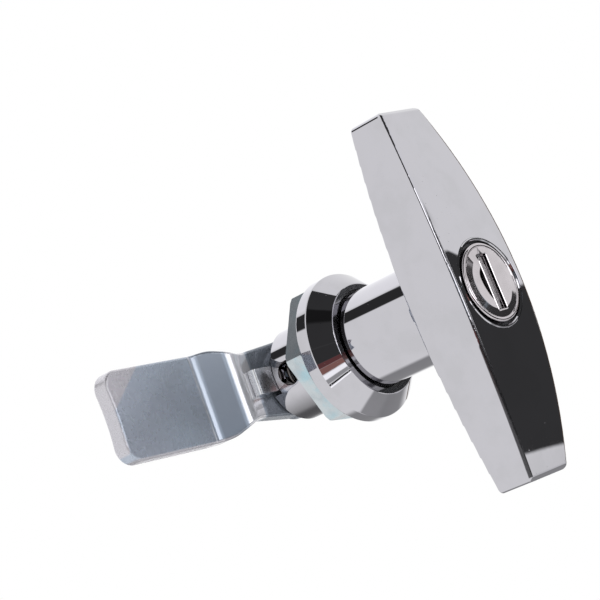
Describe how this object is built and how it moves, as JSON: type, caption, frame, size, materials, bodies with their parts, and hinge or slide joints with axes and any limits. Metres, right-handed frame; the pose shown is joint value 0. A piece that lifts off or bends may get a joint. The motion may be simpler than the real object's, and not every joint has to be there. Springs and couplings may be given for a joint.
{
  "type": "t-handle lock",
  "caption": "T-handle cam lock: tapered chromed grip with a keyed cylinder, cone bezel with threaded barrel and nut, stop washer and joggled cam.",
  "frame": {"origin": "where the lock's axis meets the back face of the bezel, which is the face that rests on the panel", "axes": "+Y along the lock's axis into the panel, from the grip to the cam; Z along the grip's bar; the cam points along -X at rest"},
  "size_m": [0.0594, 0.0591, 0.0706],
  "materials": {
    "grip_chrome": "polished",
    "bezel_chrome": "polished",
    "ring_chrome": "polished",
    "tab_chrome": "polished",
    "cap_stainless": "satin",
    "shutter_steel": "satin",
    "inner_steel": "satin",
    "spring_steel": "satin",
    "nut_zinc": "zinc plated",
    "cam_zinc": "zinc plated",
    "plug_brass": "satin",
    "wafer_brass": "satin",
    "seal_rubber": "matt"
  },
  "bodies": {
    "housing": {"bezel_housing": "bezel_chrome", "neck_seal": "seal_rubber", "thrust_washer": "inner_steel", "mounting_nut": "nut_zinc", "barrel_spring": "spring_steel"},
    "handle": {"t_handle": "grip_chrome", "cylinder_shell": "ring_chrome", "cylinder_pin": "inner_steel", "stop_washer": "tab_chrome", "cam": "cam_zinc", "cam_washer": "nut_zinc", "lock_washer": "spring_steel", "cam_bolt": "nut_zinc"},
    "plug": {"plug": "plug_brass", "plug_cap": "cap_stainless", "plug_clip": "inner_steel", "shutter_pin": "inner_steel", "shutter_spring": "spring_steel", "wafer_springs": "spring_steel"},
    "shutter": {"dust_shutter": "shutter_steel"},
    "bolt": {"lock_bolt": "inner_steel"},
    "wafer_1": {"wafer_1": "wafer_brass"},
    "wafer_2": {"wafer_2": "wafer_brass"},
    "wafer_3": {"wafer_3": "wafer_brass"},
    "wafer_4": {"wafer_4": "wafer_brass"},
    "wafer_5": {"wafer_5": "wafer_brass"}
  },
  "joints": [
    {"name": "handle_turn", "type": "hinge", "parent": "housing", "child": "handle", "pos_m": [0, 0, 0], "axis": [0, 1, 0], "range_deg": [0, 90]},
    {"name": "key_plug_turn", "type": "hinge", "parent": "handle", "child": "plug", "pos_m": [0, 0, 0], "axis": [0, 1, 0], "range_deg": [0, 90]},
    {"name": "bolt_slide", "type": "slide", "parent": "handle", "child": "bolt", "axis": [1, 0, 0], "range_m": [0, 0.00162]},
    {"name": "shutter_swing", "type": "hinge", "parent": "plug", "child": "shutter", "pos_m": [0.0019, -0.0337, 0], "axis": [0, 0, -1], "range_deg": [0, 85], "stiffness_Nm_per_rad": 0.0002, "springref_deg": -11.46, "deforming": ["shutter_spring"]},
    {"name": "wafer_1_slide", "type": "slide", "parent": "plug", "child": "wafer_1", "axis": [0, 0, 1], "range_m": [0, 0.0008], "stiffness_N_per_m": 20, "deforming": ["wafer_springs"]},
    {"name": "wafer_2_slide", "type": "slide", "parent": "plug", "child": "wafer_2", "axis": [0, 0, 1], "range_m": [0, 0.0008], "stiffness_N_per_m": 20},
    {"name": "wafer_3_slide", "type": "slide", "parent": "plug", "child": "wafer_3", "axis": [0, 0, 1], "range_m": [0, 0.0008], "stiffness_N_per_m": 20},
    {"name": "wafer_4_slide", "type": "slide", "parent": "plug", "child": "wafer_4", "axis": [0, 0, 1], "range_m": [0, 0.0008], "stiffness_N_per_m": 20},
    {"name": "wafer_5_slide", "type": "slide", "parent": "plug", "child": "wafer_5", "axis": [0, 0, 1], "range_m": [0, 0.0008], "stiffness_N_per_m": 20}
  ],
  "couplings": [
    {"joint": "bolt_slide", "follows": "key_plug_turn", "m_per_rad": 0.0010186},
    {"joint": "wafer_2_slide", "follows": "wafer_1_slide", "ratio": 1},
    {"joint": "wafer_3_slide", "follows": "wafer_1_slide", "ratio": 1},
    {"joint": "wafer_4_slide", "follows": "wafer_1_slide", "ratio": 1},
    {"joint": "wafer_5_slide", "follows": "wafer_1_slide", "ratio": 1}
  ]
}
